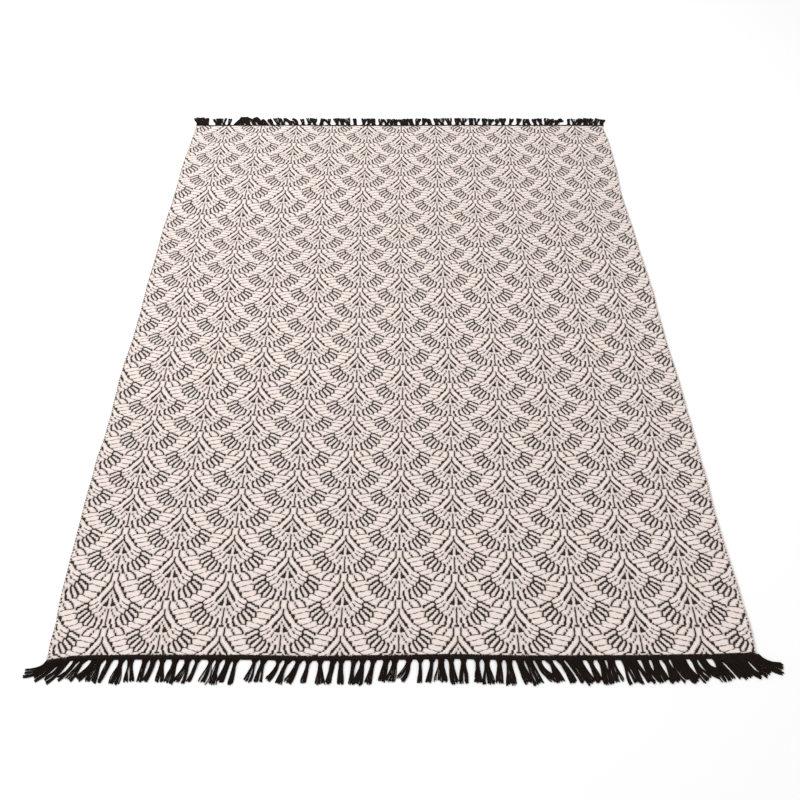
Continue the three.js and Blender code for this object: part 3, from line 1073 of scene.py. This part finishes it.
def add_lock(parts, lock, side, random):
    """Adds the yarns of one lock, side by side at the band, drawn together and spread at the tip."""
    yarns = lock["yarns"]
    part = np.linspace(0, 1, YARN_STATIONS) ** STATION_POWER
    root_order = np.arange(yarns)
    waist_order = np.argsort(np.argsort(root_order + random.normal(0, WAIST_SHUFFLE, yarns)))
    tip_order = np.argsort(np.argsort(waist_order + random.normal(0, TIP_SHUFFLE, yarns)))
    root_places, waist_places, tip_places = (
        2 * order / (yarns - 1) - 1 for order in (root_order, waist_order, tip_order)
    )
    to_waist = eased(part / WAIST_AT)
    to_tip = eased((part - WAIST_AT) / (1 - WAIST_AT)) ** SPREAD_POWER
    tip_half_width = lock["waist"] + lock["tip_spread"] * random.uniform(*TIP_WIDENING)
    tufts = random.integers(*TUFT_COUNTS)
    gather = random.uniform(*TUFT_GATHER)
    for yarn in range(yarns):
        length = lock["length"] + random.uniform(*LENGTH_CHANGE)
        points, asides = lock_line(lock, length, side, YARN_STATIONS)
        tuft_place = 2 * (math.floor(yarn * tufts / yarns) + 0.5) / tufts - 1
        tip_place = tip_places[yarn] * (1 - gather) + tuft_place * gather
        offset = (1 - to_waist) * root_places[yarn] * ROOT_HALF_WIDTH
        offset = offset + to_waist * (1 - to_tip) * waist_places[yarn] * lock["waist"]
        offset = offset + to_tip * (tip_place * tip_half_width + random.uniform(*TIP_CHANGE))
        waves = random.uniform(*YARN_WAVES)
        phase = random.uniform(0, 2 * math.pi)
        sway = random.uniform(*YARN_SWAY)
        if random.uniform() < STRAY_SHARE:
            sway = random.uniform(*STRAY_SWAY)
            waves = random.uniform(*STRAY_WAVES)
        offset = offset + sway * part * np.sin(2 * math.pi * waves * part + phase)
        near_waist = np.exp(-((part - WAIST_AT) / RISE_REACH) ** 2)
        rise = yarn % LOCK_LAYERS * LAYER_RISE
        rise = rise * (RISE_AWAY_FROM_WAIST + (1 - RISE_AWAY_FROM_WAIST) * near_waist)
        sink = np.clip((SINK_END - part) / SINK_LENGTH, RISE_AT_TIP, 1)
        radii = YARN_RADIUS * (1 + TIP_BLOOM * part ** 3)
        places = np.column_stack([points + asides * offset[:, None], radii + rise * sink])
        add_tube(parts, places, radii)


def add_band(parts, side):
    """Adds the woven band that holds the locks: a low strip of slanting yarn turns."""
    vertices, faces, uvs = parts
    outward = -1 if side == "near" else 1
    start = len(vertices)
    count = int(FIELD_WIDTH / BAND_STEP) + 1
    for station in range(count):
        across = station * BAND_STEP
        edge = end_edge(side, across)
        for point in band_section:
            out = point["out"]
            slant = across / BAND_TURN + abs(out - 0.5) * TURN_SLANT
            swell = 0.5 + 0.5 * math.cos(2 * math.pi * slant)
            height = BAND_HEIGHT * point["level"] * (TURN_TROUGH + TURN_HEIGHT * swell)
            width = BAND_WIDTH * out + (TURN_WIDTH * swell if out == 1.0 else 0.0)
            vertices.append(np.array([
                FIELD_MIDDLE.x + across - FIELD_WIDTH / 2,
                edge + outward * (BAND_GAP + width),
                height,
            ]))
            uvs.append((out * TURNS_ACROSS_BAND, across))
    size = len(band_section)
    for station in range(count - 1):
        for point in range(size):
            this = start + station * size + point
            after = start + station * size + (point + 1) % size
            loop = [this, after, after + size, this + size]
            faces.append(loop[::-1] if outward > 0 else loop)
    first = [start + point for point in range(size)]
    last = [start + (count - 1) * size + point for point in range(size)]
    faces.append(first if outward > 0 else first[::-1])
    faces.append(last[::-1] if outward > 0 else last)


def make_fringe(name, fringe, side, seed, material):
    """One end's band and fringe, joined into one mesh."""
    random = np.random.default_rng(seed)
    parts = ([], [], [])
    add_band(parts, side)
    for lock in lay_out_locks(fringe):
        add_lock(parts, lock, side, random)
    return new_object(name, parts[0], parts[1], {"Yarn": parts[2]}, material)


def make_floor():
    """A plain pale floor."""
    graph = Graph("pale floor")
    graph.look("Base Color", (FLOOR_TONE, FLOOR_TONE, FLOOR_TONE, 1))
    graph.look("Roughness", 0.9)
    graph.look("Specular IOR Level", 0.1)
    corners = np.array([(-1, -1, 0), (1, -1, 0), (1, 1, 0), (-1, 1, 0)]) * FLOOR_HALF_SIZE
    new_object("floor", corners, [(0, 1, 2, 3)], {}, graph.material)


def make_camera():
    """The photo's viewpoint."""
    data = bpy.data.cameras.new("camera")
    data.lens = CAMERA_LENS
    data.sensor_width = 36
    camera = bpy.data.objects.new("camera", data)
    turn = Matrix.Rotation(-CAMERA_YAW, 4, "Z") @ Matrix.Rotation(math.pi / 2 - CAMERA_PITCH, 4, "X")
    camera.matrix_world = Matrix.Translation(CAMERA_PLACE) @ turn @ Matrix.Rotation(CAMERA_ROLL, 4, "Z")
    bpy.context.scene.collection.objects.link(camera)
    bpy.context.scene.camera = camera


def make_studio():
    """Soft light from all round, and a wide lamp above the far left that points at the rug's middle."""
    world = bpy.data.worlds.new("studio")
    world.use_nodes = True
    background = world.node_tree.nodes["Background"]
    background.inputs["Color"].default_value = (1.0, 1.0, 1.0, 1)
    background.inputs["Strength"].default_value = SURROUND_STRENGTH
    bpy.context.scene.world = world
    data = bpy.data.lights.new("key", "AREA")
    data.shape = "SQUARE"
    data.size = LAMP_SIZE
    data.energy = LAMP_POWER
    lamp = bpy.data.objects.new("key", data)
    lamp.location = LAMP_PLACE
    lamp.rotation_euler = (-Vector(LAMP_PLACE)).to_track_quat("-Z", "Y").to_euler()
    bpy.context.scene.collection.objects.link(lamp)
    bpy.context.scene.view_settings.view_transform = "Standard"


make_camera()
make_studio()
make_floor()
woven = woven_material()
black_yarn = yarn_material()
field = make_field(woven)
fringe_near = make_fringe("fringe_near_yarns", near_fringe, "near", NEAR_FRINGE_SEED, black_yarn)
fringe_far = make_fringe("fringe_far_yarns", far_fringe, "far", FAR_FRINGE_SEED, black_yarn)
for piece, node, slot in (
    (field, "rug_field", "woven_field"),
    (fringe_near, "fringe_near", "fringe_yarn"),
    (fringe_far, "fringe_far", "fringe_yarn"),
):
    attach(piece, "root")
    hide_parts(node)
